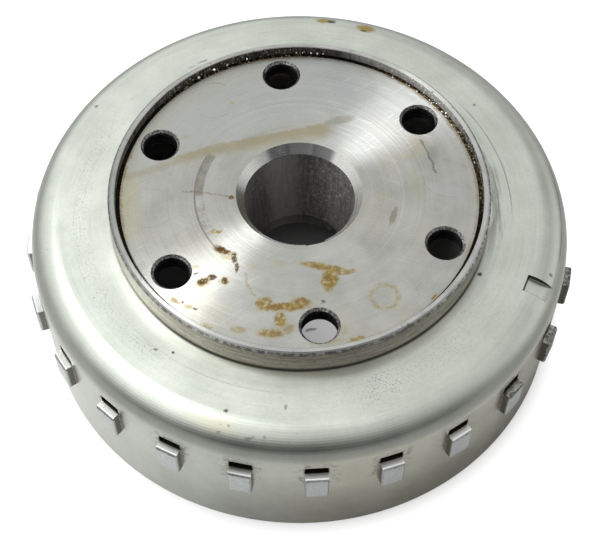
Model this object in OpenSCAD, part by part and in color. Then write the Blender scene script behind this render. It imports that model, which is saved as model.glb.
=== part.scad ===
// Magneto flywheel of a small engine: a deep-drawn steel cup with timing lugs on its wall,
// a turned hub riveted to its closed end, and a ring of glued arc magnets inside the wall.
// Millimetres. The origin is on the axis in the plane of the open rim; +Z runs along the
// axis towards the closed end, where the starter clutch bolts on.

/* [Cup] */
// Outer diameter of the wall, without the lugs
cup_d = 132; // [130:0.5:136]
// Height from the rim to the flat of the closed end
cup_h = 41; // [40:0.5:44]
// Thickness of the sheet
cup_t = 3.8; // [3.4:0.1:4]
// Outer radius of the shoulder between wall and closed end
shoulder_r = 7.4; // [6.5:0.1:8]

/* [Timing lugs] */
// Equal pitches round the wall
lug_pitches = 24; // [18, 24]
// Neighbouring lugs left out, as the timing reference
lug_gap = 2; // [1:1:3]
// Width of a lug along the wall
lug_w = 5.4; // [4.5:0.1:6]
// Height of the lower end of a lug above the rim
lug_low = 21; // [18:0.5:22]
// Length of a lug along the axis
lug_h = 8.7; // [7:0.1:9]
// How far a lug stands out of the wall
lug_out = 2; // [1.5:0.1:2.2]
// Direction of the first lug
lug_start = 33.4; // [0:0.1:360]

/* [Locating notch] */
// Width of the notch stamped across the shoulder
notch_w = 4.6; // [4:0.1:6]
// Depth of its floor below the closed end, where it starts
notch_depth = 1.1; // [0.8:0.1:1.6]
// Slope of that floor towards the wall, in degrees
notch_slope = 11; // [6:1:14]
// Radius at which it starts
notch_r = 57.7; // [56:0.1:58.5]
// Direction of the notch
notch_at = -22.8; // [-180:0.1:180]

/* [Hub flange] */
// Outer diameter of the flange
flange_d = 91.8; // [91:0.1:93]
// Height of the lip's top above the closed end of the cup
lip_rise = 7.5; // [7:0.1:8]
// Height of the clutch face above the closed end of the cup
face_rise = 4.9; // [4.5:0.1:5.2]
// Inner diameter of the lip, which centres the clutch
lip_bore = 88.4; // [88:0.1:88.6]
// Width of the relief groove round the clutch face
groove_w = 1; // [0.8:0.1:1.2]
// Depth of that groove below the clutch face
groove_depth = 1; // [0.6:0.1:1.2]
// How far that groove undercuts the lip, so that its inner wall ends clear of the corner
groove_undercut = 0.5; // [0.5:0.1:0.8]

/* [Bolt and rivet circles] */
// Clutch bolts, and rivets between them
fastener_count = 6; // [4:1:6]
// Diameter of the bolt circle
bolt_circle = 74.5; // [74:0.1:75]
// Diameter of a bolt hole in the flange
bolt_hole = 8.4; // [8.2:0.1:8.8]
// Diameter of the clearance for a bolt head in the cup
bolt_head_hole = 14.5; // [14:0.1:15]
// Diameter of the rivet circle
rivet_circle = 72; // [71.5:0.1:73]
// Diameter of a rivet's shank
rivet_d = 8; // [7:0.1:8]
// Diameter of the countersunk rivet head, turned flush with the clutch face
rivet_head_d = 11.2; // [10.5:0.1:11.5]
// Direction of the first bolt hole
bolt_at = 37.1; // [0:0.1:60]

/* [Boss and taper] */
// Outer diameter of the boss inside the cup
boss_d = 33; // [32:0.5:33.5]
// Height of the boss's free end above the rim
boss_low = 13.6; // [12:0.1:16]
// Diameter of the taper at its wide end, under the entry bevel
taper_big = 26.96; // [26.5:0.02:27.5]
// Length of the taper for each millimetre of its diameter
taper_ratio = 6; // [5.5:0.5:7]
// Depth of the entry bevel below the clutch face
bevel_depth = 2.35; // [2:0.05:2.5]
// Diameter of the entry bevel at the clutch face
bevel_d = 30.6; // [30.4:0.1:31]
// Diameter of the recess for nut and washer
recess_d = 26.4; // [26:0.1:27]
// Depth of that recess
recess_depth = 6.6; // [5:0.1:8]
// Width of the keyway
key_w = 5; // [4:0.5:5]
// Radius of the keyway's floor at the wide end of the taper
key_r = 15; // [14.8:0.1:15.2]
// Direction of the keyway
key_at = -74.2; // [-180:0.1:180]

/* [Magnets] */
// Number of arc magnets
magnet_count = 12; // [10:2:12]
// Thickness of a magnet
magnet_t = 6.9; // [6:0.1:7]
// Length of a magnet along the axis
magnet_h = 27.95; // [26:0.05:28]
// Height of the magnets' lower end above the rim
magnet_low = 4.05; // [4:0.05:4.2]
// Angle that one magnet covers
magnet_arc = 26.6; // [24:0.1:27]
// Thickness of the stainless magnet cover
cover_t = 0.5; // [0.4:0.05:0.6]

/* [Hidden] */
$fn = 180;
cut = 1;
glue = 0.05;
fine_steps = 6;
bend_steps = 10;
shoulder_steps = 18;

cup_r = cup_d / 2;
wall_r = cup_r - cup_t;
web_low = cup_h - cup_t;
spigot_r = 20;
inner_fillet = shoulder_r - cup_t;
rim_edge = 0.6;

lug_top = lug_low + lug_h;
lug_step = 360 / lug_pitches;
lug_face_r = cup_r + lug_out;
lug_edge = 0.6;
lug_corner = 0.3;
lug_root = 1.5;
roll_r = 2.2;
roll_end = 60;
roll_lift = 1;
slot_depth = 1.8;
slot_gap = 0.9;
dent_inset = 0.3;
dent_depth = 1.8;

face_z = cup_h + face_rise;
lip_z = cup_h + lip_rise;
groove_z = face_z - groove_depth;
flange_r = flange_d / 2;
lip_r = lip_bore / 2;
lip_edge = 0.7;
fine_edge = 0.15;
small_edge = 0.4;

bolt_edge = 0.6;
step = 360 / fastener_count;
rivet_at = bolt_at + step / 2;
rivet_sink = (rivet_head_d - rivet_d) / 2;
rivet_foot_r = 6.2;
rivet_foot_h = 2.8;

taper_top = face_z - bevel_depth;
taper_low = boss_low + recess_depth;
taper_small = taper_big - (taper_top - taper_low) / taper_ratio;
taper_lean = atan(0.5 / taper_ratio);
mouth_edge = 0.6;
boss_edge = 1;
boss_neck = 2;

magnet_r = wall_r - glue;
magnet_in_r = magnet_r - magnet_t;
magnet_top = magnet_low + magnet_h;
magnet_edge = 0.5;
pitch = 360 / magnet_count;
spacer_arc = pitch - magnet_arc;
rib_inset = 0.2;
rib_lap = 1;
cover_r = magnet_in_r - glue;
cover_low = magnet_low - glue - cover_t;
cover_gap = 0.4;
cover_top = web_low - cover_gap;
cover_bend = 1.2;
skirt_low = 1.8;

function numbered(word, i) = str(word, "_", i < 10 ? "0" : "", i);

// Points along an arc from angle a0 to angle a1, in n steps
function arc(x, y, r, a0, a1, n) =
    [for (i = [0 : n]) let (a = a0 + (a1 - a0) * i / n) [x + r * cos(a), y + r * sin(a)]];

// Turns a side view, drawn with the radius along X and the height along Y, upright and
// gives it a thickness of w across the radius
module radial_slab(w) {
    rotate([90, 0, 0])
        linear_extrude(height = w, center = true)
            children();
}

// Section of the bare cup
module cup_section() {
    polygon(concat(
        [[wall_r + small_edge, 0], [cup_r - rim_edge, 0], [cup_r, rim_edge]],
        arc(cup_r - shoulder_r, cup_h - shoulder_r, shoulder_r, 0, 90, shoulder_steps),
        [[spigot_r, cup_h], [spigot_r, web_low]],
        arc(wall_r - inner_fillet, web_low - inner_fillet, inner_fillet, 90, 0, bend_steps),
        [[wall_r, small_edge]]
    ));
}

// One lug, pushed out of the wall, with a rounded face edge and bevelled sides
module lug() {
    half = lug_w / 2;
    root_r = cup_r - lug_root;
    intersection() {
        radial_slab(lug_w)
            polygon(concat(
                [[root_r, lug_low], [lug_face_r - lug_corner, lug_low],
                 [lug_face_r, lug_low + lug_corner]],
                arc(lug_face_r - lug_edge, lug_top - lug_edge, lug_edge, 0, 90, fine_steps),
                [[root_r, lug_top]]
            ));
        translate([0, 0, lug_low - cut])
            linear_extrude(height = lug_h + 2 * cut)
                polygon([
                    [root_r, -half], [lug_face_r - lug_corner, -half],
                    [lug_face_r, lug_corner - half], [lug_face_r, half - lug_corner],
                    [lug_face_r - lug_corner, half], [root_r, half]
                ]);
    }
}

// The sheared gap above a lug, where the wall rolls inwards
module lug_slot() {
    roll_z = lug_top + roll_lift + roll_r * sin(roll_end);
    roll_tip = arc(cup_r - roll_r, roll_z, roll_r, 0, -roll_end, bend_steps);
    radial_slab(lug_w)
        polygon(concat(
            [[cup_r + cut, roll_z]],
            roll_tip,
            [[cup_r - slot_depth, lug_top + slot_gap], [cup_r - slot_depth, lug_top],
             [cup_r + cut, lug_top]]
        ));
}

// The hollow that pushing a lug out leaves on the inside of the wall
module lug_dent() {
    translate([wall_r - cut, dent_inset - lug_w / 2, lug_low + dent_inset])
        cube([cut + dent_depth, lug_w - 2 * dent_inset, lug_h - 2 * dent_inset]);
}

// The notch across the shoulder, with a floor that slopes down towards the wall
module notch_cut() {
    notch_end = cup_r + cut;
    floor_z = cup_h - notch_depth;
    radial_slab(notch_w)
        polygon([
            [notch_r, floor_z], [notch_end, floor_z - (notch_end - notch_r) * tan(notch_slope)],
            [notch_end, cup_h + cut], [notch_r, cup_h + cut]
        ]);
}

module at_each_lug() {
    for (i = [0 : lug_pitches - lug_gap - 1])
        rotate([0, 0, lug_start + i * lug_step])
            children();
}

module at_each_fastener(start, circle_d) {
    for (i = [0 : fastener_count - 1])
        rotate([0, 0, start + i * step])
            translate([circle_d / 2, 0, 0])
                children();
}

module rotor_shell() {
    color("#b9bfb4")
        difference() {
            union() {
                difference() {
                    rotate_extrude() cup_section();
                    at_each_lug() lug_slot();
                }
                at_each_lug() lug();
            }
            at_each_lug() lug_dent();
            rotate([0, 0, notch_at]) notch_cut();
            at_each_fastener(bolt_at, bolt_circle)
                translate([0, 0, web_low - cut])
                    cylinder(d = bolt_head_hole, h = cup_t + 2 * cut);
            at_each_fastener(rivet_at, rivet_circle)
                translate([0, 0, web_low - cut])
                    cylinder(d = rivet_d, h = cup_t + 2 * cut);
        }
}

// Section of the hub: boss below, flange with its lip above, bore at the axis
module hub_section() {
    recess_r = recess_d / 2;
    boss_r = boss_d / 2;
    polygon([
        [recess_r + mouth_edge, boss_low],
        [boss_r - boss_edge, boss_low],
        [boss_r, boss_low + boss_edge],
        [boss_r, web_low - 2 * boss_neck],
        [spigot_r, web_low - boss_neck],
        [spigot_r, cup_h],
        [flange_r - small_edge, cup_h],
        [flange_r, cup_h + small_edge],
        [flange_r, lip_z - lip_edge],
        [flange_r - lip_edge, lip_z],
        [lip_r + fine_edge, lip_z],
        [lip_r, lip_z - fine_edge],
        [lip_r, face_z],
        [lip_r + groove_undercut, face_z - groove_undercut],
        [lip_r + groove_undercut, groove_z],
        [lip_r - groove_w, groove_z],
        [lip_r - groove_w, face_z],
        [bevel_d / 2, face_z],
        [taper_big / 2, taper_top],
        [taper_small / 2, taper_low],
        [recess_r, taper_low],
        [recess_r, boss_low + mouth_edge]
    ]);
}

// One clutch bolt hole through the flange, bevelled at both ends
module bolt_hole_cut() {
    r = bolt_hole / 2;
    rotate_extrude()
        polygon([
            [0, cup_h - cut], [r + bolt_edge + cut, cup_h - cut], [r, cup_h + bolt_edge],
            [r, face_z - bolt_edge], [r + bolt_edge + cut, face_z + cut], [0, face_z + cut]
        ]);
}

// The flush head and shank of a rivet, from the given height up to the given top
module rivet_body(low, top) {
    r = rivet_d / 2;
    rotate_extrude()
        polygon([
            [0, low], [r, low], [r, face_z - rivet_sink],
            [r + rivet_sink + top - face_z, top], [0, top]
        ]);
}

module keyway_cut() {
    rotate([0, 0, key_at])
        translate([key_r, 0, taper_top])
            rotate([0, taper_lean, 0])
                translate([-key_r, -key_w / 2, taper_low - taper_top - cut / 2])
                    cube([key_r, key_w, taper_top - taper_low + bevel_depth + cut]);
}

module hub_boss() {
    color("#c3c6c3")
        difference() {
            rotate_extrude() hub_section();
            at_each_fastener(bolt_at, bolt_circle) bolt_hole_cut();
            at_each_fastener(rivet_at, rivet_circle) rivet_body(cup_h - cut, face_z + cut);
            keyway_cut();
        }
}

// Rivet number i: its upper head is turned flush, its foot is a low dome under the cup's web
module rivet(i) {
    dome_r = (rivet_foot_r * rivet_foot_r + rivet_foot_h * rivet_foot_h) / (2 * rivet_foot_h);
    dome_z = web_low - rivet_foot_h + dome_r;
    dome_end = asin(rivet_foot_r / dome_r);
    color("#c8cac6")
        rotate([0, 0, rivet_at + (i - 1) * step])
            translate([rivet_circle / 2, 0, 0]) {
                rivet_body(web_low, face_z);
                rotate_extrude()
                    polygon(concat(
                        arc(0, dome_z, dome_r, -90, dome_end - 90, bend_steps),
                        [[0, web_low]]
                    ));
            }
}

// A ring segment of the given angle, drawn as a section to the right of the axis
module ring_segment(angle) {
    rotate([0, 0, -angle / 2])
        rotate_extrude(angle = angle)
            children();
}

module magnet(i) {
    color("#3a3a3c")
        rotate([0, 0, (i - 1) * pitch])
            ring_segment(magnet_arc)
                polygon([
                    [magnet_in_r + magnet_edge, magnet_low],
                    [magnet_r - magnet_edge, magnet_low],
                    [magnet_r, magnet_low + magnet_edge],
                    [magnet_r, magnet_top - magnet_edge],
                    [magnet_r - magnet_edge, magnet_top],
                    [magnet_in_r + magnet_edge, magnet_top],
                    [magnet_in_r, magnet_top - magnet_edge],
                    [magnet_in_r, magnet_low + magnet_edge]
                ]);
}

// Moulded ring that sets the magnets' height, with a rib between each two magnets
module magnet_spacer() {
    ring_low = magnet_top + glue;
    rib_in_r = magnet_in_r + rib_inset;
    rib_out_r = magnet_r - rib_inset;
    color("#2b2b2a")
        union() {
            rotate_extrude()
                polygon([
                    [magnet_in_r, ring_low], [magnet_r, ring_low],
                    [magnet_r, web_low - inner_fillet], [magnet_r - inner_fillet, web_low - glue],
                    [magnet_in_r, web_low - glue]
                ]);
            for (i = [0 : magnet_count - 1])
                rotate([0, 0, (i + 0.5) * pitch])
                    ring_segment(spacer_arc)
                        polygon([
                            [rib_in_r, magnet_low], [rib_out_r, magnet_low],
                            [rib_out_r, ring_low + rib_lap], [rib_in_r, ring_low + rib_lap]
                        ]);
        }
}

// Pressed stainless sleeve over the magnets, flanged and skirted at the open end of the cup
module magnet_cover() {
    in_r = cover_r - cover_t;
    color("#b4b6b6")
        rotate_extrude()
            polygon(concat(
                [[in_r, cover_top]],
                arc(in_r + cover_bend, cover_low + cover_bend, cover_bend, 180, 270, fine_steps),
                [[magnet_r - cover_t, cover_low], [magnet_r - cover_t, skirt_low],
                 [magnet_r, skirt_low], [magnet_r, cover_low + cover_t]],
                arc(
                    in_r + cover_bend, cover_low + cover_bend, cover_bend - cover_t,
                    270, 180, fine_steps
                ),
                [[cover_r, cover_top]]
            ));
}

rotor_shell();
hub_boss();
magnet_spacer();
magnet_cover();
for (i = [1 : fastener_count])
    rivet(i);
for (i = [1 : magnet_count])
    magnet(i);
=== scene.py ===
"""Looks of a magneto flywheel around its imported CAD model. Metres, +Z up along the axis.
Azimuths are in degrees from +X, counter-clockwise from above. The camera stands at azimuth -90."""

import math
import random

import bpy
import bmesh
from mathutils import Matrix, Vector


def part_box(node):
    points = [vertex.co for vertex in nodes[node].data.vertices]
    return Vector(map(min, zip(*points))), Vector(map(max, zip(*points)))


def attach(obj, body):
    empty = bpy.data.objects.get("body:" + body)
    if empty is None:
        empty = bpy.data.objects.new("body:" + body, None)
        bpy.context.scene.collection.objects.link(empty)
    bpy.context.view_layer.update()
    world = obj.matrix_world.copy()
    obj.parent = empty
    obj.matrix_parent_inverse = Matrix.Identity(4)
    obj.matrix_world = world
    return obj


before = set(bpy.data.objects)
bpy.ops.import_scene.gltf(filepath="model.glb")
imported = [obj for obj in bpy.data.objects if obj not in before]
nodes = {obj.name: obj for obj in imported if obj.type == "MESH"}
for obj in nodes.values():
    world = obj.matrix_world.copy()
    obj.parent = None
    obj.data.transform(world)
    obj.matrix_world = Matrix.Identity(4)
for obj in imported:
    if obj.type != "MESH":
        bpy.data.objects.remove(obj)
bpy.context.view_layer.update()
scene = bpy.context.scene

MM = 0.001

# ------------------------------------------------- sizes in mm and azimuths in degrees, as in the CAD

CUP_R = 66.0
CUP_TOP = 41.0
FLANGE_R = 45.9
LIP_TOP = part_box("hub_boss")[1].z / MM
FACE_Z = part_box("rivet_01")[1].z / MM
LIP_R = 44.2
FACE_R = 43.2
BEVEL_R = 15.3
BORE_R = 13.6
BOLT_CIRCLE_R = 37.25
BOLT_AT = 37.1
BOLT_R = 4.2
BOLT_BEVEL_R = 4.8
RIVET_CIRCLE_R = 36.0
RIVET_AT = 67.1
RIVET_HEAD_R = 5.6
LUG_STEP = 15.0
LUG_START = 33.4
LUG_HALF = 2.7
LUG_FACE_R = 68.0
LUG_TOP = 29.7
NOTCH_AT = -22.8
NOTCH_START_R = 57.7
NOTCH_FLOOR_Z = 39.9
NOTCH_SLOPE = 11.0
COVER_R = 55.0

# Heights that tell the surfaces apart
ON_CUP_TOP = CUP_TOP - 0.2
ON_FLANGE = 43.5
UNDER_FACE = FACE_Z - 0.02
UNDER_LIP_TOP = LIP_TOP - 0.2

# Crumbs of swarf: the circle and height they lie at, and the points each one is made from
CRUMB_CIRCLE_R = 43.6
CRUMB_Z = 46.9
CRUMB_POINTS = 14

# Stage: the camera's place in mm, its tilt and lens, half the floor in metres, the azimuth of its glow,
# and the power that sets how narrow each soft light is
CAMERA_AT = (0.14, -194.8, 316.8)
CAMERA_TILT = 57.47
CAMERA_LENS = 83.0
FLOOR_HALF = 6.0
FLOOR_BRIGHT_AT = 195.0
LOBE_POWER = 14.0


# ------------------------------------------------- shader node helpers

class Field:
    """A value that varies over a surface: a socket that can be added, scaled and compared."""

    def __init__(self, paint, socket):
        self.paint, self.socket = paint, socket

    def _math(self, op, *others):
        return self.paint.math(op, self, *others)

    def __add__(self, other):
        return self._math("ADD", other)

    __radd__ = __add__

    def __sub__(self, other):
        return self._math("SUBTRACT", other)

    def __rsub__(self, other):
        return self.paint.math("SUBTRACT", other, self)

    def __mul__(self, other):
        return self._math("MULTIPLY", other)

    __rmul__ = __mul__

    def __truediv__(self, other):
        return self._math("DIVIDE", other)

    def over(self, limit):
        return self._math("GREATER_THAN", limit)

    def under(self, limit):
        return self._math("LESS_THAN", limit)

    def most(self, other):
        return self._math("MAXIMUM", other)

    def least(self, other):
        return self._math("MINIMUM", other)

    def size(self):
        return self._math("ABSOLUTE")


class Graph:
    """Builds a tree of shader nodes."""

    def __init__(self, tree):
        self.tree = tree

    def add(self, kind, **settings):
        node = self.tree.nodes.new(kind)
        for key, value in settings.items():
            setattr(node, key, value)
        return node

    def link(self, value, socket):
        if isinstance(value, Field):
            self.tree.links.new(value.socket, socket)
        else:
            socket.default_value = value

    def math(self, op, *values):
        node = self.add("ShaderNodeMath", operation=op)
        for value, socket in zip(values, node.inputs):
            self.link(value, socket)
        return Field(self, node.outputs[0])

    def vector(self, op, *values, scale=None):
        node = self.add("ShaderNodeVectorMath", operation=op)
        for value, socket in zip(values, node.inputs):
            self.link(value, socket)
        if scale is not None:
            self.link(scale, node.inputs["Scale"])
        out = "Value" if op in ("LENGTH", "DOT_PRODUCT") else "Vector"
        return Field(self, node.outputs[out])

    def combine(self, x, y, z):
        node = self.add("ShaderNodeCombineXYZ")
        for value, socket in zip((x, y, z), node.inputs):
            self.link(value, socket)
        return Field(self, node.outputs[0])

    def step(self, value, low, high, start=0.0, end=1.0):
        """start where value is at or under low, end at or over high, smooth between."""
        node = self.add("ShaderNodeMapRange", interpolation_type="SMOOTHSTEP")
        for item, socket in zip((value, low, high, start, end), node.inputs):
            self.link(item, socket)
        return Field(self, node.outputs[0])

    def hump(self, value, centre, half, soft):
        """1 where value is within half of centre, falling to 0 over soft."""
        return self.step((value - centre).size(), half, half + soft, 1.0, 0.0)

    def mix(self, factor, a, b):
        node = self.add("ShaderNodeMix", data_type="RGBA", clamp_factor=True)
        self.link(factor, node.inputs["Factor"])
        self.link(a, node.inputs[6])
        self.link(b, node.inputs[7])
        return Field(self, node.outputs[2])

    def split(self, vector):
        node = self.add("ShaderNodeSeparateXYZ")
        self.link(vector, node.inputs[0])
        return [Field(self, out) for out in node.outputs]


class Paint(Graph):
    """One material. Places and lengths are in mm in the frame that all pieces share."""

    def __init__(self, name):
        self.material = bpy.data.materials.new(name)
        self.material.use_nodes = True
        super().__init__(self.material.node_tree)
        self.shader = self.tree.nodes["Principled BSDF"]
        coordinates = self.add("ShaderNodeTexCoord")
        self.place = self.vector("SCALE", Field(self, coordinates.outputs["Object"]), scale=1 / MM)
        self.x, self.y, self.z = self.split(self.place)
        self.r = self.math("SQRT", self.x * self.x + self.y * self.y)
        self.azimuth = self.math("ARCTAN2", self.y, self.x) * math.degrees(1.0)
        self.loose_x, self.loose_y, self.loose = self.x, self.y, self.place

    def moved(self, place, seed):
        """The place, moved far away by a step for each seed, so that patterns don't repeat."""
        return self.vector("ADD", place or self.place, Vector((170, 50, 110)) * seed)

    def noise(self, place=None, size=1.0, detail=2.0, rough=0.5, seed=0.0):
        """Noise from 0 to 1, about 0.5, whose lumps are about size mm across."""
        node = self.add("ShaderNodeTexNoise")
        self.link(self.moved(place, seed), node.inputs["Vector"])
        node.inputs["Scale"].default_value = 1 / size
        node.inputs["Detail"].default_value = detail
        node.inputs["Roughness"].default_value = rough
        return Field(self, node.outputs[0])

    def specks(self, size, radius, seed, place=None):
        """Round spots of the given radius, both in mm, scattered about size mm apart."""
        node = self.add("ShaderNodeTexVoronoi")
        self.link(self.moved(place, seed), node.inputs["Vector"])
        node.inputs["Scale"].default_value = 1 / size
        return self.step(Field(self, node.outputs["Distance"]) * size, radius * 0.6, radius, 1.0, 0.0)

    def rings(self, across, length, seed=0.0, detail=2.0, centre_r=30.0):
        """Noise drawn out round the axis: across mm wide and, at centre_r, length mm long."""
        far = self.r.most(1.0)
        turn = centre_r / length
        drawn = self.combine(self.r / across, self.x / far * turn, self.y / far * turn)
        return self.noise(drawn, 1.0, detail, 0.6, seed)

    def lines_up(self, across, length, seed=0.0, detail=2.0, centre_r=66.0):
        """Noise drawn out along the axis on a wall of radius centre_r."""
        far = self.r.most(1.0)
        drawn = self.combine(
            self.x / far * (centre_r / across), self.y / far * (centre_r / across), self.z / length)
        return self.noise(drawn, 1.0, detail, 0.6, seed)

    def bands(self, across, length, seed=0.0, detail=2.0, centre_r=66.0):
        """Noise drawn out round a wall of radius centre_r."""
        far = self.r.most(1.0)
        drawn = self.combine(
            self.x / far * (centre_r / length), self.y / far * (centre_r / length), self.z / across)
        return self.noise(drawn, 1.0, detail, 0.6, seed)

    def scratches(self, direction, across, length, seed, least=0.66):
        """Thin straight marks on flat faces that run in the given direction."""
        a = math.radians(direction)
        run = self.x * math.cos(a) + self.y * math.sin(a)
        side = self.y * math.cos(a) - self.x * math.sin(a)
        drawn = self.combine(side / across, run / length, 0.0)
        return self.step(self.noise(drawn, 1.0, 1.0, 0.5, seed), least, least + 0.06)

    def around(self, circle_r, start, count):
        """Distance in mm from the nearest of count points on a circle."""
        step = 360.0 / count
        turn = self.math("PINGPONG", self.azimuth - start + 720.0, step / 2) / math.degrees(1.0)
        dx = self.r * self.math("COSINE", turn) - circle_r
        dy = self.r * self.math("SINE", turn)
        return self.math("SQRT", dx * dx + dy * dy)

    def loosen(self, size, reach, seed):
        """Makes the edges of the blots and ribbons that follow wander by about reach mm."""
        wander_x = self.noise(size=size, detail=4.0, rough=0.65, seed=seed)
        wander_y = self.noise(size=size, detail=4.0, rough=0.65, seed=seed + 7.0)
        self.loose_x = self.x + (wander_x - 0.5) * (4 * reach)
        self.loose_y = self.y + (wander_y - 0.5) * (4 * reach)
        self.loose = self.combine(self.loose_x, self.loose_y, 0.0)

    def blot(self, x, y, half_x, half_y, soft=0.5, turn=0.0):
        """A stain on a flat face: 1 inside an ellipse, 0 outside."""
        node = self.add("ShaderNodeMapping", vector_type="TEXTURE")
        self.link(self.loose, node.inputs["Vector"])
        node.inputs["Location"].default_value = (x, y, 0.0)
        node.inputs["Rotation"].default_value = (0.0, 0.0, math.radians(turn))
        node.inputs["Scale"].default_value = (half_x, half_y, 1.0)
        away = self.vector("LENGTH", Field(self, node.outputs[0]))
        return self.step(away, 1 - soft * 0.6, 1 + soft * 0.4, 1.0, 0.0)

    def blots(self, marks, soft=0.5):
        """Several stains, each with its strength: x, y, half_x, half_y, turn, strength."""
        found = None
        for x, y, half_x, half_y, turn, strength in marks:
            one = self.blot(x, y, half_x, half_y, soft, turn) * strength
            found = one if found is None else found.most(one)
        return found

    def ribbon(self, points, half, soft):
        """1 within half mm of a line through the points, falling to 0 over soft."""
        nearest = None
        for (x0, y0), (x1, y1) in zip(points, points[1:]):
            run_x, run_y = x1 - x0, y1 - y0
            long2 = run_x * run_x + run_y * run_y
            dx, dy = self.loose_x - x0, self.loose_y - y0
            t = ((dx * run_x + dy * run_y) / long2).most(0.0).least(1.0)
            ex, ey = dx - t * run_x, dy - t * run_y
            away = self.math("SQRT", ex * ex + ey * ey)
            nearest = away if nearest is None else nearest.least(away)
        return self.step(nearest, half, half + soft, 1.0, 0.0)

    def sector(self, start, end, soft):
        """1 between two azimuths, 0 outside, soft degrees of change at each end."""
        half = (end - start) / 2
        turned = self.math("WRAP", self.azimuth - (start + half), 180.0, -180.0)
        return self.step(turned.size(), half - soft, half + soft, 1.0, 0.0)

    def height(self, field, depth):
        """Raises the surface by field times depth mm."""
        node = self.add("ShaderNodeBump")
        node.inputs["Distance"].default_value = MM
        self.link(field * depth, node.inputs["Height"])
        before = self.shader.inputs["Normal"]
        if before.is_linked:
            self.tree.links.new(before.links[0].from_socket, node.inputs["Normal"])
        self.tree.links.new(node.outputs[0], before)

    def finish(self, colour, rough, metal=1.0, turned=0.0):
        """Sets the shader. A turned surface stretches its highlights across its tool marks."""
        self.link(colour, self.shader.inputs["Base Color"])
        self.link(rough, self.shader.inputs["Roughness"])
        self.link(metal, self.shader.inputs["Metallic"])
        if turned:
            self.shader.inputs["Anisotropic"].default_value = turned
            self.shader.inputs["Anisotropic Rotation"].default_value = 0.25
            self.link(self.combine(-1.0 * self.y, self.x, 0.0), self.shader.inputs["Tangent"])
        return self.material


def rgba(r, g, b):
    return (r, g, b, 1.0)


# ------------------------------------------------- marks on flat faces
# x, y, half sizes along and across, turn in degrees, strength

AMBER_MARKS = [
    (6, -21.3, 6.5, 1.1, -12, 0.9),
    (7, -24.5, 2, 3.6, -10, 0.95),
    (10.5, -22.6, 3, 0.8, 8, 0.8),
    (-3.5, -32, 6.5, 1.3, 3, 0.95),
    (-8, -31, 2.2, 1.6, 0, 0.9),
    (0.5, -30.7, 2.5, 1.2, 0, 0.9),
    (-4.3, -35.5, 1.5, 2.4, 0, 0.9),
    (-6.5, -39, 3.4, 1.3, 0, 0.85),
    (-2.5, -38, 1.5, 1.5, 0, 0.6),
    (-13.8, -38, 2, 1.1, -10, 0.6),
    (-21, -37, 1.6, 0.8, -30, 0.55),
    (-28.5, -30.5, 1.4, 0.7, -30, 0.6),
    (-25.5, -32, 1.2, 0.6, -30, 0.5),
    (-19.7, -11.2, 1.5, 0.5, 0, 0.8),
    (6, -41.2, 4, 0.8, 8, 0.5),
    (13, -40.3, 2.2, 0.5, 14, 0.8),
    (10, -38.2, 1, 1.6, 0, 0.4),
    (-5, -20.2, 1.7, 1, 10, 0.35),
    (-11, -21, 1.5, 1, 0, 0.25),
    (29, 14.5, 1.8, 3.6, 10, 0.3),
    (27.5, 11, 2, 1.2, 10, 0.2),
    (28.5, 3, 1.3, 6, 6, 0.2),
    (-24, -21, 1, 0.5, 0, 0.4),
    (31, -29.5, 1.2, 0.4, 40, 0.9),
    (-22, -25.4, 2.2, 1.4, 30, 0.55),
    (-17.4, -25, 1.4, 1.2, 0, 0.5),
    (-17, -17.6, 2.4, 1.4, -35, 0.45),
    (-17, 28, 0.7, 0.5, 0, 0.4),
    (-28, 17, 1.2, 0.7, 0, 0.35),
]
RUST_MARKS = [
    (-18.2, -16.5, 2.2, 0.9, -25, 1),
    (-15.2, -18.5, 0.7, 1.6, 10, 0.95),
    (-14.6, -21.5, 0.5, 1.6, 0, 0.85),
    (-17.1, -25, 0.8, 0.8, 0, 0.95),
    (-22.3, -25.2, 1.3, 0.9, 30, 1),
    (-20.2, -24, 1, 0.6, 0, 0.95),
    (-24, -23.2, 0.5, 0.4, 0, 0.7),
    (-27, -30.5, 0.4, 0.4, 0, 0.7),
    (-23.8, -32.6, 0.6, 0.4, 0, 0.7),
    (-16.4, -1.4, 0.8, 0.5, 0, 0.9),
    (5.5, -30.6, 0.5, 0.5, 0, 0.8),
]
GREY_MARKS = [
    (22.4, -6.6, 0.8, 2.8, -16, 0.65),
    (10, 22.3, 4, 1.3, 15, 0.45),
    (18, -15, 5, 3.4, -30, 0.14),
    (-30, -14, 3, 1, 60, 0.12),
]
CUP_DOTS = [
    (-32.8, -40.4, 0.55, 0.4, 0, 0.7),
    (-28.7, -41.2, 0.4, 0.4, 0, 0.9),
    (42.5, -20, 0.6, 0.5, 0, 0.9),
    (-16.3, -56, 0.5, 0.5, 0, 0.85),
    (-52, 31, 0.5, 0.5, 0, 0.6),
    (-25.3, 45.8, 1.6, 0.35, 28, 0.5),
    (-28.3, 43.8, 1.3, 0.3, 30, 0.4),
    (44.7, 31.3, 0.5, 0.5, 0, 0.6),
    (-3, -55, 0.4, 0.8, 0, 0.5),
    (8.6, 60, 1.3, 0.8, 0, 0.8),
    (17, 56.5, 0.9, 0.4, 0, 0.75),
    (59.5, -19.5, 0.4, 0.4, 0, 0.6),
    (60, -31.5, 0.7, 0.4, 30, 0.6),
    (-11, -62, 1.1, 0.3, 5, 0.45),
    (-7.6, -61.9, 0.4, 0.3, 0, 0.35),
    (-15.6, -59.3, 0.4, 0.3, 0, 0.4),
    (-18, -60.5, 0.5, 0.25, 0, 0.35),
]


# ------------------------------------------------- cup

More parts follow.
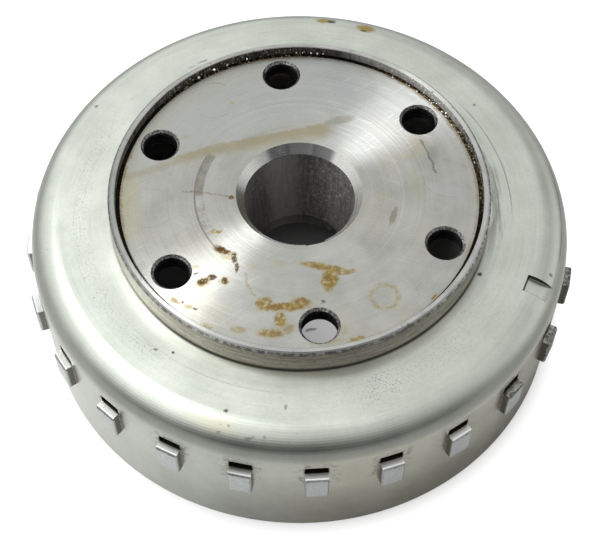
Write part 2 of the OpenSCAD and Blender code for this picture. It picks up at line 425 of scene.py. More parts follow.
def cup_base(p):
    """Pale plating, slightly green on top and warmer on the wall, with fine scuffs, painted shade on the near
    half of the flat top and painted light near the foot of the flange on the near side.
    """
    cloud = p.noise(size=15.0, detail=4.0, rough=0.55, seed=1.0)
    grain = p.noise(size=0.7, detail=3.0, rough=0.7, seed=2.0)
    top = p.mix(p.step(cloud, 0.35, 0.68), rgba(0.485, 0.515, 0.46), rgba(0.54, 0.57, 0.515))
    wall = p.mix(p.step(cloud, 0.35, 0.68), rgba(0.52, 0.51, 0.42), rgba(0.60, 0.59, 0.505))
    cool = p.vector("MULTIPLY", wall, Vector((0.945, 1.0, 1.06)))
    wall = p.mix(p.sector(190.0, 268.0, 14.0), wall, cool)
    colour = p.mix(p.step(p.z, 38.5, 32.0), top, wall)
    shade = 1.0 + (grain - 0.5) * 0.22 + (p.rings(0.6, 16.0, 3.0) - 0.5) * 0.14
    shade = shade + (p.noise(size=3.5, detail=4.0, rough=0.6, seed=19.0) - 0.5) * 0.12
    # painted shade: the flat top is darker over the near half, az 192 to 348
    shade = shade - p.sector(192.0, 348.0, 22.0) * p.step(p.z, 40.7, 40.97) * 0.12
    # painted light: the flat top is brightened near the foot of the flange on the near side, where a band of
    # shade falls
    painted_light_near_foot = p.step(p.r, 46.2, 50.5, 1.0, 0.0) * p.sector(205.0, 320.0, 20.0) * p.z.over(40.5)
    shade = shade + painted_light_near_foot * 0.75
    return p.vector("SCALE", colour, scale=shade), cloud


def cup_scuffs(p):
    """Darkening by rubbed tracks on the flat top, 0 to 1."""
    flat = p.step(p.z, 38.0, 40.5)
    tracks = p.step(p.rings(0.45, 7.0, 5.0, 3.0), 0.56, 0.72)
    patchy = p.step(p.noise(size=9.0, detail=3.0, seed=6.0), 0.45, 0.62)
    right = p.sector(-15.0, 60.0, 12.0)
    slant = p.scratches(62.0, 0.5, 9.0, 8.0, 0.6) * p.sector(150.0, 235.0, 12.0)
    fine = p.scratches(-38.0, 0.35, 12.0, 9.0, 0.66)
    left = p.sector(135.0, 245.0, 14.0) * p.hump(p.r, 53.5, 1.0, 4.0)
    found = tracks * patchy * (0.25 + right * 0.35).most(left * 0.8)
    found = found.most(slant * 0.07).most(fine * 0.08)
    return found * flat


def cup_dirt(p):
    """Dark specks and stains on the cup, 0 to 1."""
    flat = p.z.over(36.0)
    patchy = p.step(p.noise(size=11.0, detail=3.0, seed=11.0), 0.5, 0.62)
    found = p.specks(2.4, 0.16, 12.0) * patchy * 0.6
    near_right = p.sector(276.0, 322.0, 10.0) * p.hump(p.r, 52.0, 2.0, 5.0)
    left = p.sector(150.0, 240.0, 14.0) * p.hump(p.r, 53.3, 0.7, 2.5)
    rubbed = p.step(p.noise(size=0.45, detail=2.0, rough=0.7, seed=13.0), 0.55, 0.68)
    found = found.most(near_right * rubbed * patchy.most(0.4) * 0.7).most(left * rubbed * 0.4)
    found = found.most(p.blots(CUP_DOTS, 0.7) * flat)
    foot = p.step(p.r, 46.0, 46.5, 1.0, 0.0) * p.z.over(ON_CUP_TOP)
    smear = p.step(p.rings(1.1, 9.0, 14.0, 4.0), 0.40, 0.60)
    worn = p.hump(p.r, 49.0, 0.4, 0.9) * p.sector(-11.0, 15.0, 4.0) * p.z.over(ON_CUP_TOP) * smear
    halo = p.step(p.r, 46.5, 51.0, 1.0, 0.0) * p.z.over(ON_CUP_TOP) * smear
    side = p.sector(-12.0, 50.0, 15.0).most(p.sector(112.0, 140.0, 8.0))
    near = p.sector(225.0, 335.0, 10.0)
    found = found.most(foot * (0.45 + near * 0.4)).most(worn * 0.55)
    hairline = p.hump(p.r, 51.7, 0.06, 0.16) * p.z.over(ON_CUP_TOP) * p.step(smear, 0.0, 0.6, 0.35, 1.0)
    turns = (p.sector(-2.0, 36.0, 6.0) * 0.5).most(p.sector(225.0, 265.0, 8.0) * 0.25)
    found = found.most(hairline * turns)
    line = p.hump(p.z, 38.7, 0.1, 0.25) * p.sector(-28.0, 16.0, 5.0) * smear
    return found.most(halo * (0.04 + side * 0.6)).most(line * 0.5)


def lug_offset(p):
    """Distance in mm along the wall from the nearest lug's middle, large where lugs are left out."""
    turn = p.math("PINGPONG", p.azimuth - LUG_START + 720.0, LUG_STEP / 2)
    return turn * (math.radians(1.0) * CUP_R) + p.sector(-4.0, 26.0, 0.1) * 50.0


def notch_wall(p):
    """Where the notch gets painted shade: 1 on its upright walls, 0.85 along the corner at its inner end."""
    a = math.radians(NOTCH_AT)
    along = p.x * math.cos(a) + p.y * math.sin(a)
    across = p.y * math.cos(a) - p.x * math.sin(a)
    floor = NOTCH_FLOOR_Z - (along - NOTCH_START_R) * math.tan(math.radians(NOTCH_SLOPE))
    inside = p.step(across.size(), 2.33, 2.36, 1.0, 0.0) * along.over(NOTCH_START_R - 0.04)
    wall = inside * p.step(p.z - floor, 0.05, 0.2) * along.under(65.0)
    corner_painted_shade = p.hump(along, NOTCH_START_R + 0.12, 0.18, 0.1) * across.size().under(2.3) * p.z.under(40.7)
    return wall.most(corner_painted_shade * 0.85)


def cup_steel():
    """Satin plated sheet with half-sheared lugs, with painted shade in the slots above the lugs, on the lug
    sides, on the lug ledges at az 195 to 262 and in the notch.
    """
    p = Paint("cup_steel")
    p.loosen(1.2, 0.3, 20.0)
    colour, cloud = cup_base(p)
    scuffs, dirt = cup_scuffs(p), cup_dirt(p)
    colour = p.mix(scuffs, colour, rgba(0.25, 0.26, 0.24))
    colour = p.mix(p.blot(-19, -58.5, 6, 2, 0.9, -18) * 0.35, colour, rgba(0.62, 0.58, 0.40))
    drips = [(6.4, 60.4, 2.1, 1.0, -3, 1.0), (17.6, 57.5, 2.6, 1.5, -15, 1.0)]
    colour = p.mix(p.blots(drips, 0.8) * p.z.over(36.0), colour, rgba(0.34, 0.26, 0.085))
    colour = p.mix(dirt, colour, rgba(0.05, 0.045, 0.035))
    off = lug_offset(p)
    outer = p.r.over(63.0)
    # Painted shade with some dirt in the slot above each lug: near black at its bottom (deep), fading up the
    # rolled wall by z 32.6.
    slot_painted_shade = p.step(off, LUG_HALF + 0.02, LUG_HALF + 0.4, 1.0, 0.0) * p.z.over(LUG_TOP - 0.1)
    slot_painted_shade = slot_painted_shade * p.r.under(CUP_R + 0.1) * outer
    deep = p.step(p.z, 30.3, 32.6, 1.0, 0.0)
    near = p.step(off, 2.6, 6.5, 1.0, 0.0) * p.hump(p.z, 28.5, 3.5, 3.5) * outer
    blotch = p.step(p.noise(size=1.6, detail=4.0, rough=0.7, seed=15.0), 0.46, 0.66)
    colour = p.mix(near * blotch * 0.75, colour, rgba(0.12, 0.10, 0.065))
    colour = p.mix(slot_painted_shade * deep, colour, rgba(0.06, 0.05, 0.036))
    # painted shade on the upright walls and the inner corner of the notch
    colour = p.mix(notch_wall(p), colour, rgba(0.035, 0.035, 0.03))
    stands_out = p.step(p.r, CUP_R + 0.05, CUP_R + 0.15) * p.hump(p.z, 25.3, 4.5, 0.1)
    face = p.step(p.r, LUG_FACE_R - 0.7, LUG_FACE_R - 0.4) * stands_out
    ledge = p.step(p.z, LUG_TOP - 0.6, LUG_TOP - 0.2) * stands_out
    stony = p.noise(size=0.9, detail=4.0, rough=0.75, seed=16.0)
    rough_side = p.sector(-34.0, 12.0, 4.0)
    rough_ledge = p.sector(-50.0, 12.0, 4.0)
    smooth_face = p.mix(p.step(stony, 0.35, 0.65), rgba(0.455, 0.476, 0.465), rgba(0.565, 0.59, 0.575))
    stony_face = p.mix(p.step(stony, 0.4, 0.62), rgba(0.08, 0.08, 0.072), rgba(0.36, 0.36, 0.34))
    # painted shade: the sides of the lugs, where they stand out of the wall, are dark
    colour = p.mix(stands_out, colour, rgba(0.17, 0.16, 0.14))
    colour = p.mix(face, colour, p.mix(rough_side, smooth_face, stony_face))
    # Lug ledges: pale sheared metal, with painted shade making them darker at az 195 to 262.
    ledge_with_painted_shade = p.mix(p.sector(195.0, 262.0, 8.0), rgba(0.72, 0.73, 0.73), rgba(0.34, 0.35, 0.335))
    colour = p.mix(ledge, colour, p.mix(rough_ledge, ledge_with_painted_shade, stony_face))
    fold = p.hump(p.z, LUG_TOP - 0.6, 0.14, 0.2) * p.step(stony, 0.44, 0.56) * stands_out
    colour = p.mix(fold * 0.8, colour, rgba(0.06, 0.055, 0.04))
    inside = p.r.under(62.7) * p.z.under(37.3)
    oily = p.mix(cloud, rgba(0.26, 0.235, 0.19), rgba(0.46, 0.44, 0.40))
    colour = p.mix(inside, colour, oily)
    rough = p.step(cloud, 0.3, 0.7, 0.31, 0.36) + scuffs * 0.1 + dirt * 0.2 + face * rough_side * 0.15
    p.height(p.noise(size=13.0, detail=1.0, seed=17.0), 0.05)
    p.height(p.noise(size=0.5, detail=2.0, seed=18.0), 0.004)
    p.height(stony * face * rough_side, 0.12)
    return p.finish(colour, rough, 1.0)


# ------------------------------------------------- hub and rivets

def old_marks(p, colour):
    """Grey, amber and rusty marks on the clutch face. Returns the colour, the amber and the rust."""
    colour = p.mix(p.blots(GREY_MARKS, 0.6), colour, rgba(0.20, 0.185, 0.14))
    band = p.hump(p.r, 24.3, 0.95, 0.3) * p.sector(152.0, 182.0, 1.0)
    worn = p.noise(size=1.4, detail=4.0, rough=0.7, seed=31.0)
    faint = p.hump(p.r, 24.2, 1.0, 0.5) * p.sector(184.0, 216.0, 6.0) * p.step(worn, 0.42, 0.62)
    thread = p.hump(p.r, 25.25, 0.1, 0.2) * p.sector(153.0, 222.0, 3.0)
    grey = (band * p.step(worn, 0.3, 0.65, 0.75, 0.4)).most(faint * 0.4).most(thread * 0.8)
    colour = p.mix(grey, colour, rgba(0.165, 0.155, 0.125))
    hair = p.ribbon([(-28, 0.5), (-22, 0), (-16.5, -1.2)], 0.05, 0.3)
    colour = p.mix(hair * 0.6, colour, rgba(0.22, 0.15, 0.06))
    streak = p.ribbon([(30, 16), (31.9, 11), (33, 6)], 0.05, 0.45).most(p.blot(33, 12.5, 1.4, 2.2, 0.9) * 0.3)
    colour = p.mix(streak * 0.75, colour, rgba(0.13, 0.12, 0.09))
    arc = p.ribbon([(-12.3, -23), (-12.1, -26), (-10.2, -29)], 0.1, 0.35)
    colour = p.mix(arc * 0.5, colour, rgba(0.30, 0.24, 0.12))
    spread = p.noise(size=1.1, detail=5.0, rough=0.7, seed=32.0)
    dx, dy = p.loose_x - 19.6, p.loose_y + 29.3
    ring = p.hump(p.math("SQRT", dx * dx + dy * dy), 3.2, 0.2, 0.8) * p.step(spread, 0.3, 0.6)
    amber = (p.blots(AMBER_MARKS, 0.7) * p.step(spread, 0.31, 0.46)).most(ring * 0.6)
    tone = p.mix(p.step(spread, 0.38, 0.62), rgba(0.30, 0.20, 0.016), rgba(0.15, 0.08, 0.004))
    tone = p.mix(p.step(amber, 0.3, 0.75), rgba(0.32, 0.265, 0.08), tone)
    colour = p.mix(amber * 0.92, colour, tone)
    flaked = p.noise(size=0.7, detail=4.0, rough=0.7, seed=43.0)
    rust = p.blots(RUST_MARKS, 0.8) * p.step(flaked, 0.34, 0.48)
    tone = p.mix(p.step(flaked, 0.5, 0.66), rgba(0.075, 0.036, 0.009), rgba(0.26, 0.14, 0.025))
    colour = p.mix(rust, colour, tone)
    return colour, amber, rust


def turned_face(p):
    """The clutch face: turned steel with tool marks, a thin film, old stains and a painted highlight by the
    bore at az 30 to 62.
    """
    p.loosen(2.0, 0.55, 30.0)
    fine = p.rings(0.3, 50.0, 33.0, 3.0)
    wide = p.rings(1.5, 60.0, 34.0, 2.0)
    cloud = p.noise(size=9.0, detail=4.0, rough=0.6, seed=35.0)
    colour = p.mix(p.step(cloud, 0.3, 0.7), rgba(0.345, 0.35, 0.325), rgba(0.42, 0.425, 0.40))
    cream = p.step(p.noise(size=16.0, detail=4.0, rough=0.6, seed=44.0), 0.48, 0.66)
    colour = p.mix(cream * 0.4, colour, rgba(0.405, 0.38, 0.305))
    # painted highlight: a pale wedge from the bore outwards at az 30 to 62
    painted_glare = p.sector(30.0, 62.0, 9.0) * p.step(p.r, 15.0, 20.0)
    colour = p.mix(painted_glare * 0.6, colour, rgba(0.55, 0.56, 0.55))
    gold = p.sector(105.0, 195.0, 14.0) * p.step(p.r, 37.5, 40.5)
    colour = p.mix(gold * 0.7, colour, rgba(0.42, 0.41, 0.285))
    above = p.y - p.x * 0.42 - 22.0 + (cloud - 0.5) * 3.0
    film = p.step(above, -0.2, 0.5) * p.step(p.x, 4.0, 18.0, 1.0, 0.0)
    colour = p.mix(film * 0.6, colour, rgba(0.40, 0.415, 0.40))
    tan = p.ribbon([(-29, 12), (-20, 14.5), (-12, 16.3), (-4, 18.6), (5, 19.5)], 1.0, 3.4)
    edge = p.ribbon([(-42, 4.7), (-35, 7.3), (-29, 10)], 0.2, 1.6)
    across = p.loose_x + 22.0
    brow = p.loose_y - 14.2 - (across * 0.40).least(across * 0.245)
    tan = tan.most(edge * 0.6) * p.step(brow, -0.2, 0.5, 1.0, 0.12)
    colour = p.mix(tan * 0.65, colour, rgba(0.29, 0.245, 0.13))
    pale = p.step(p.around(RIVET_CIRCLE_R, RIVET_AT, 6), 5.3, 5.6, 1.0, 0.0) * p.sector(52.0, 82.0, 1.0)
    colour = p.mix(pale * 0.35, colour, rgba(0.37, 0.395, 0.405))
    shade = 1.0 + (fine - 0.5) * 0.22 + (wide - 0.5) * 0.16
    shade = shade + p.hump(p.r, 25.1, 0.08, 0.2) * p.sector(-50.0, 62.0, 12.0) * 0.10
    shade = shade + p.hump(p.r, 29.3, 0.08, 0.2) * p.sector(-20.0, 112.0, 12.0) * 0.08
    shade = shade - p.hump(p.r, 28.2, 0.05, 0.25) * p.sector(40.0, 118.0, 12.0) * 0.10
    outline = p.hump(p.around(RIVET_CIRCLE_R, RIVET_AT, 6), RIVET_HEAD_R, 0.04, 0.16)
    broken = p.step(p.noise(size=4.0, detail=2.0, seed=36.0), 0.42, 0.6)
    shade = shade - outline * broken * (0.07 + p.sector(112.0, 130.0, 4.0) * 0.22)
    scratched = p.scratches(35.0, 0.3, 9.0, 37.0, 0.65).most(p.scratches(-20.0, 0.3, 14.0, 38.0, 0.66))
    shade = shade + scratched * 0.12
    colour = p.vector("SCALE", colour, scale=shade)
    colour, amber, rust = old_marks(p, colour)
    pits = p.specks(1.7, 0.14, 39.0) * p.step(p.noise(size=6.0, detail=2.0, seed=40.0), 0.5, 0.6)
    field = p.blot(18, -16, 8, 5, 0.8, -30).most(p.step(p.r, 36.0, 42.0) * p.sector(300.0, 350.0, 8.0))
    colour = p.mix(pits * (0.15 + field * 0.6), colour, rgba(0.12, 0.11, 0.09))
    ragged = p.noise(size=2.4, detail=5.0, rough=0.7, seed=41.0)
    brink = p.step(p.r + (ragged - 0.5) * 2.8, 42.3, 43.0) * p.step(ragged, 0.32, 0.5)
    where = p.sector(14.0, 62.0, 6.0).most(p.sector(86.0, 118.0, 6.0)).most(p.sector(160.0, 198.0, 6.0))
    where = (where * 0.6).most(p.sector(-25.0, 10.0, 8.0) * 0.4)
    colour = p.mix(brink * (0.05 + where * 0.75), colour, rgba(0.23, 0.145, 0.045))
    grime = p.step(p.r, 42.2, 43.2) * p.step(p.noise(size=1.0, detail=4.0, rough=0.7, seed=42.0), 0.4, 0.6)
    colour = p.mix(grime * 0.15, colour, rgba(0.06, 0.05, 0.035))
    rough = 0.27 + (fine - 0.5) * 0.10 + scratched * 0.06 + amber * 0.12 + rust * 0.3
    return colour, rough, 1.0 - (rust * 0.9).most(amber * 0.8)


def flange_rim(p, colour):
    """Groove, lip and outer wall of the flange, with painted shade at the foot of the wall, dirt and painted
    shade in the groove and on the lip's inner wall, a painted highlight on that wall and painted glints.
    Returns the colour and where the groove is.
    """
    blotch = p.noise(size=1.2, detail=5.0, rough=0.7, seed=51.0)
    drawn = p.bands(0.35, 9.0, 52.0, 3.0, FLANGE_R)
    wall = p.mix(p.step(drawn, 0.3, 0.7), rgba(0.225, 0.20, 0.165), rgba(0.43, 0.395, 0.345))
    wall = p.mix(p.step(blotch, 0.52, 0.68) * 0.6, wall, rgba(0.09, 0.08, 0.065))
    # painted shade: the outer wall is darker towards its foot on the cup
    wall = p.mix(p.step(p.z, 41.3, 42.6, 0.7, 0.0), wall, rgba(0.05, 0.045, 0.035))
    seam = p.hump(p.z, 47.65, 0.1, 0.2) * p.step(blotch, 0.42, 0.55)
    wall = p.mix(seam * 0.7, wall, rgba(0.04, 0.035, 0.03))
    lip = p.mix(p.step(drawn, 0.35, 0.65), rgba(0.385, 0.39, 0.375), rgba(0.475, 0.48, 0.46))
    lip = p.mix(p.step(blotch, 0.60, 0.68) * 0.7, lip, rgba(0.12, 0.11, 0.095))
    burr = p.hump(p.z, 48.0, 0.12, 0.15) * p.r.over(44.6) * p.step(blotch, 0.40, 0.55)
    lip = p.mix(burr * 0.75, lip, rgba(0.05, 0.045, 0.04))
    lip = p.mix(p.sector(165.0, 228.0, 12.0) * 0.45, lip, rgba(0.20, 0.20, 0.19))
    ledge = p.step(p.z, 47.75, 47.85)
    found = p.mix(p.step(p.r, 44.15, 44.3) * (1.0 - ledge), colour, wall)
    found = p.mix(ledge * p.r.over(44.0), found, lip)
    # Dirt and painted shade: the groove (sunk) and the lip's inner wall (lining) are darkened near black.
    sunk = p.hump(p.r, 44.0, 0.75, 0.05) * p.z.under(UNDER_FACE)
    lining = p.hump(p.r, 44.1, 0.13, 0.03) * p.z.under(UNDER_LIP_TOP) * p.z.over(45.0)
    upright = p.lines_up(0.5, 3.0, 53.0, 3.0, LIP_R)
    dark = p.mix(p.step(upright, 0.35, 0.7), rgba(0.055, 0.05, 0.045), rgba(0.19, 0.18, 0.165))
    # painted highlight on the lip's inner wall at az 26 to 74
    painted_gleam = p.sector(26.0, 74.0, 5.0) * p.step(upright, 0.3, 0.5, 0.35, 0.75)
    dark = p.mix(painted_gleam, dark, rgba(0.46, 0.46, 0.45))
    found = p.mix(lining, found, dark)
    flecked = p.noise(size=0.7, detail=4.0, rough=0.75, seed=55.0)
    littered = p.sector(-4.0, 64.0, 6.0).most(p.sector(86.0, 138.0, 5.0))
    soot_and_painted_shade = p.mix(p.step(blotch, 0.54, 0.7), rgba(0.02, 0.018, 0.015), rgba(0.12, 0.075, 0.03))
    soot_and_painted_shade = p.mix(p.step(flecked, 0.50, 0.58) * littered * 0.85, soot_and_painted_shade, rgba(0.36, 0.26, 0.11))
    found = p.mix(sunk, found, soot_and_painted_shade)
    # painted glints: pale specks in the groove and on the lip's inner wall
    painted_glints = p.specks(0.9, 0.26, 54.0) * littered
    return p.mix(painted_glints * sunk.most(lining), found, rgba(0.80, 0.78, 0.70)), sunk.most(lining)


def hub_bore(p, colour):
    """The taper, dark and mottled with drawn marks, and the oily boss inside the cup."""
    upright = p.lines_up(0.5, 7.0, 61.0, 4.0, BORE_R)
    mottle = p.noise(size=1.0, detail=5.0, rough=0.75, seed=62.0)
    dark = p.mix(p.step(upright, 0.25, 0.75), rgba(0.12, 0.115, 0.11), rgba(0.26, 0.255, 0.245))
    grainy = 0.25 + p.sector(-10.0, 75.0, 15.0) * 0.5
    dark = p.mix(p.step(mottle, 0.54, 0.64) * grainy, dark, rgba(0.50, 0.49, 0.47))
    dark = p.mix(p.step(mottle, 0.46, 0.36) * 0.6, dark, rgba(0.05, 0.047, 0.043))
    dark = p.mix(p.sector(92.0, 128.0, 10.0) * 0.4, dark, rgba(0.50, 0.49, 0.47))
    deep = p.r.under(16.2) * p.z.under(43.45)
    below = p.z.under(40.95) * (1.0 - deep)
    oily = p.mix(p.step(mottle, 0.4, 0.6), rgba(0.30, 0.27, 0.22), rgba(0.44, 0.42, 0.38))
    found = p.mix(below, colour, oily)
    return p.mix(deep, found, dark), deep


def bolt_holes(p, colour):
    """Scratched bevels of the bolt holes, and their walls darkened near black by soot and painted shade."""
    away = p.around(BOLT_CIRCLE_R, BOLT_AT, 6)
    scored = p.noise(size=0.5, detail=4.0, rough=0.7, seed=71.0)
    bevel = p.step(away, BOLT_BEVEL_R + 0.05, BOLT_BEVEL_R) * p.z.over(44.0)
    edge = p.mix(p.step(scored, 0.42, 0.62), rgba(0.07, 0.07, 0.068), rgba(0.36, 0.36, 0.35))
    found = p.mix(bevel, colour, edge)
    # soot and painted shade: the walls of the bolt holes are near black
    soot_and_painted_shade = p.mix(p.step(scored, 0.5, 0.7), rgba(0.03, 0.03, 0.03), rgba(0.14, 0.135, 0.13))
    return p.mix(p.step(away, BOLT_R + 0.12, BOLT_R + 0.04) * p.z.under(45.28), found, soot_and_painted_shade), bevel


def hub_steel():
    """Turned steel of the hub, with painted light and shade on the bevel of the bore."""
    p = Paint("hub_steel")
    colour, rough, metal = turned_face(p)
    bevel = p.r.under(BEVEL_R + 0.02) * p.z.over(ON_FLANGE) * p.z.under(UNDER_FACE)
    # The bore's bevel is coloured by azimuth as painted light and shade: pale all round, brownish at az 172
    # to 228, dark grey at az 55 to 77 and 99 to 122, mid grey at az 77 to 99.
    bevel_painted_shade = p.mix(p.sector(77.0, 99.0, 2.0), rgba(0.24, 0.24, 0.245), rgba(0.42, 0.42, 0.43))
    bevel_painted_light = p.mix(p.sector(172.0, 228.0, 6.0) * 0.85, rgba(0.76, 0.76, 0.73), rgba(0.28, 0.27, 0.21))
    colour = p.mix(bevel, colour, p.mix(p.sector(55.0, 122.0, 4.0), bevel_painted_light, bevel_painted_shade))
    colour, hidden = flange_rim(p, colour)
    colour, deep = hub_bore(p, colour)
    colour, edge = bolt_holes(p, colour)
    smooth = p.r.under(FACE_R) * p.z.over(ON_FLANGE)
    rough = 0.3 + (rough - 0.3) * smooth + hidden * 0.15 + deep * 0.12 + edge * 0.1
    p.height(p.rings(0.3, 90.0, 33.0, 2.0), 0.003)
    p.shader.inputs["Specular IOR Level"].default_value = 0.06
    return p.finish(colour, rough, metal * (1.0 - deep * 0.2), 0.94)


def rivet_steel():
    """Rivet heads, turned together with the face; the domes inside the cup are oily."""
    p = Paint("rivet_steel")
    colour, rough, metal = turned_face(p)
    mottle = p.noise(size=1.2, detail=4.0, rough=0.7, seed=81.0)
    below = p.z.under(41.0)
    oily = p.mix(p.step(mottle, 0.4, 0.6), rgba(0.30, 0.27, 0.22), rgba(0.46, 0.44, 0.40))
    p.height(p.rings(0.3, 90.0, 33.0, 2.0), 0.003)
    p.shader.inputs["Specular IOR Level"].default_value = 0.06
    return p.finish(p.mix(below, colour, oily), rough, metal, 0.94)


# ------------------------------------------------- parts inside the cup

def magnet_ferrite():
    """Dull sintered ferrite with chips and pale dust."""
    p = Paint("magnet_ferrite")
    grain = p.noise(size=0.6, detail=4.0, rough=0.7, seed=91.0)
    dust = p.step(p.noise(size=4.0, detail=4.0, seed=92.0), 0.5, 0.7)
    colour = p.mix(grain, rgba(0.025, 0.025, 0.028), rgba(0.075, 0.073, 0.072))
    p.height(grain, 0.05)
    return p.finish(p.mix(dust * 0.3, colour, rgba(0.16, 0.13, 0.10)), 0.62 + grain * 0.15, 0.0)


def spacer_resin():
    """Moulded matt black nylon with a faint glass-fibre grain."""
    p = Paint("spacer_resin")
    grain = p.noise(size=0.4, detail=4.0, rough=0.6, seed=93.0)
    p.height(grain, 0.02)
    colour = p.mix(grain, rgba(0.014, 0.014, 0.014), rgba(0.035, 0.034, 0.032))
    return p.finish(colour, 0.5 + grain * 0.15, 0.0)


def cover_steel():
    """Pressed stainless sheet with drawing lines and an oil film."""
    p = Paint("cover_steel")
    drawn = p.lines_up(0.4, 9.0, 94.0, 3.0, COVER_R)
    film = p.noise(size=7.0, detail=3.0, seed=95.0)
    colour = p.mix(drawn, rgba(0.46, 0.455, 0.44), rgba(0.62, 0.615, 0.60))
    colour = p.mix(p.step(film, 0.5, 0.7) * 0.4, colour, rgba(0.40, 0.33, 0.22))
    p.height(drawn, 0.006)
    return p.finish(colour, 0.22 + film * 0.2, 1.0)


def finish_for(name, finishes):
    if name.startswith("rivet"):
        return finishes["rivet"]
    if name.startswith("magnet_") and name[-1].isdigit():
        return finishes["magnet"]
    return finishes[name]


finishes = {
    "rotor_shell": cup_steel(),
    "hub_boss": hub_steel(),
    "rivet": rivet_steel(),
    "magnet": magnet_ferrite(),
    "magnet_spacer": spacer_resin(),
    "magnet_cover": cover_steel(),
}
for name, piece in nodes.items():
    piece.data.materials.clear()
    piece.data.materials.append(finish_for(name, finishes))


# ------------------------------------------------- crumbs of swarf held in the groove of the lip

def crumb_paint():
    """Bright broken metal."""
    p = Paint("swarf")
    grain = p.noise(size=0.3, detail=3.0, rough=0.7, seed=96.0)
    p.height(grain, 0.05)
    return p.finish(p.mix(grain, rgba(0.66, 0.66, 0.64), rgba(0.86, 0.86, 0.84)), 0.35, 0.5)


def crumb(name, azimuth, size, paint):
    """A small broken lump against the inside of the lip."""
    dice = random.Random(name)
    a = math.radians(azimuth)
    centre = Vector((CRUMB_CIRCLE_R * math.cos(a), CRUMB_CIRCLE_R * math.sin(a), CRUMB_Z))
    form = bmesh.new()
    for _ in range(CRUMB_POINTS):
        way = Vector((dice.gauss(0, 1), dice.gauss(0, 1), dice.gauss(0, 0.7))).normalized()
        form.verts.new((centre + way * size * dice.uniform(0.35, 0.5)) * MM)
    bmesh.ops.convex_hull(form, input=form.verts)
    inner = [point for point in form.verts if not point.link_faces]
    bmesh.ops.delete(form, geom=inner, context="VERTS")
    mesh = bpy.data.meshes.new(name)
    form.to_mesh(mesh)
    form.free()
    mesh.materials.append(paint)
    piece = bpy.data.objects.new(name, mesh)
    scene.collection.objects.link(piece)
    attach(piece, "root")


swarf = crumb_paint()
CRUMBS = [
    (126, 0.9), (120, 1.1), (115, 0.8), (108, 0.5), (91, 0.6), (89, 0.4), (86, 0.5), (84, 0.65), (82, 0.4),
    (44, 0.6), (38, 0.5), (33, 0.7), (24, 0.5),
]
for number, (azimuth, size) in enumerate(CRUMBS, 1):
    crumb(f"crumb_{number}", azimuth, size, swarf)


# ------------------------------------------------- stage, light and camera

# Soft lights round the part: azimuth, elevation, brightness
SOFT_LIGHTS = [
    (0, 8, 0.7), (30, 8, 0.9), (60, 8, 0.4), (90, 8, 0.8), (120, 8, 0.9), (150, 8, 0.6), (180, 8, 0.4),
    (0, 32, 0.5), (72, 32, 0.2), (108, 32, 0.5), (144, 32, 0.8), (180, 32, 0.7), (216, 32, 0.6),
    (288, 32, 0.1), (324, 32, 0.3),
    (90, 57, 0.6), (141, 57, 0.75), (192, 57, 1.1), (244, 57, 0.6), (295, 57, 0.5), (347, 57, 0.5),
    (38, 57, 0.6), (90, 84, 0.85), (216, 50, 0.6),
]


def direction(azimuth, elevation):
    a, e = math.radians(azimuth), math.radians(elevation)
    return Vector((math.cos(a) * math.cos(e), math.sin(a) * math.cos(e), math.sin(e)))


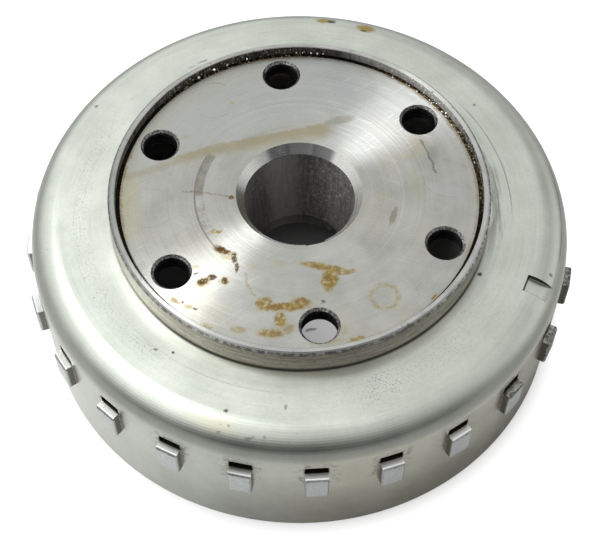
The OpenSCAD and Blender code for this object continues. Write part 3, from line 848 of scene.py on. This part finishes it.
def paper_floor():
    """A large sheet of white paper, lit from below towards the left of the part, with a painted pool of light
    under the cup.
    """
    mesh = bpy.data.meshes.new("floor")
    form = bmesh.new()
    bmesh.ops.create_grid(form, x_segments=1, y_segments=1, size=FLOOR_HALF)
    form.to_mesh(mesh)
    form.free()
    piece = bpy.data.objects.new("floor", mesh)
    scene.collection.objects.link(piece)
    p = Paint("floor_paper")
    a = math.radians(FLOOR_BRIGHT_AT)
    left = ((p.x * math.cos(a) + p.y * math.sin(a)) / p.r.most(1.0)).most(0.0)
    left = left * left
    glow = left * p.r.over(60.0) * p.step(p.r, 76.0, 140.0, 0.66, 0.1)
    glow = glow + (1.0 - left) * p.step(p.r, 70.0, 79.0) * p.step(p.r, 84.0, 120.0, 0.34, 0.0)
    to_camera = Field(p, p.add("ShaderNodeLightPath").outputs["Is Camera Ray"])
    seen = to_camera * p.step(p.r, 58.0, 72.0)
    p.loosen(3.0, 0.3, 97.0)
    # painted light: a pool of light on the paper under the cup, seen by the camera through the holes, with a
    # dark mark on the paper in it
    painted_light_pool = p.blot(6, -10, 9, 9, 0.4) * (1.0 - p.blot(3.0, -11.5, 1.7, 0.45, 0.7, 14) * 0.7)
    under = to_camera * painted_light_pool * 0.30
    p.link(seen * 0.9 + under + glow * (1.0 - seen), p.shader.inputs["Emission Strength"])
    p.shader.inputs["Emission Color"].default_value = rgba(1.0, 1.0, 1.0)
    p.shader.inputs["Specular IOR Level"].default_value = 0.1
    piece.data.materials.append(p.finish(rgba(0.36, 0.36, 0.36), 0.9, 0.0))


def softbox(name, azimuth, elevation, distance, size, power):
    lamp = bpy.data.lights.new(name, "AREA")
    lamp.shape = "SQUARE"
    lamp.size = size
    lamp.energy = power
    piece = bpy.data.objects.new(name, lamp)
    way = direction(azimuth, elevation)
    piece.location = way * distance
    piece.rotation_euler = way.to_track_quat("Z", "Y").to_euler()
    scene.collection.objects.link(piece)


def studio_sky():
    """Soft lights on a dark surround; the camera sees white behind the part."""
    world = bpy.data.worlds.new("studio")
    world.use_nodes = True
    g = Graph(world.node_tree)
    back = world.node_tree.nodes["Background"]
    back.inputs["Color"].default_value = rgba(1.0, 1.0, 1.0)
    way = Field(g, g.add("ShaderNodeTexCoord").outputs["Generated"])
    light = None
    for azimuth, elevation, brightness in SOFT_LIGHTS:
        facing = g.vector("DOT_PRODUCT", way, direction(azimuth, elevation)).most(0.0)
        lobe = g.math("POWER", facing, LOBE_POWER) * brightness
        light = lobe if light is None else light + lobe
    seen = Field(g, g.add("ShaderNodeLightPath").outputs["Is Camera Ray"])
    g.link(light * (1.0 - seen) + seen, back.inputs["Strength"])
    scene.world = world


def add_camera():
    lens = bpy.data.cameras.new("camera")
    lens.lens = CAMERA_LENS
    lens.sensor_width = 36.0
    piece = bpy.data.objects.new("camera", lens)
    piece.location = Vector(CAMERA_AT) * MM
    piece.rotation_euler = (math.radians(90 - CAMERA_TILT), 0.0, 0.0)
    scene.collection.objects.link(piece)
    scene.camera = piece


paper_floor()
studio_sky()
softbox("key", 152, 65, 1.0, 0.2, 3.0)
add_camera()
scene.view_settings.view_transform = "Standard"
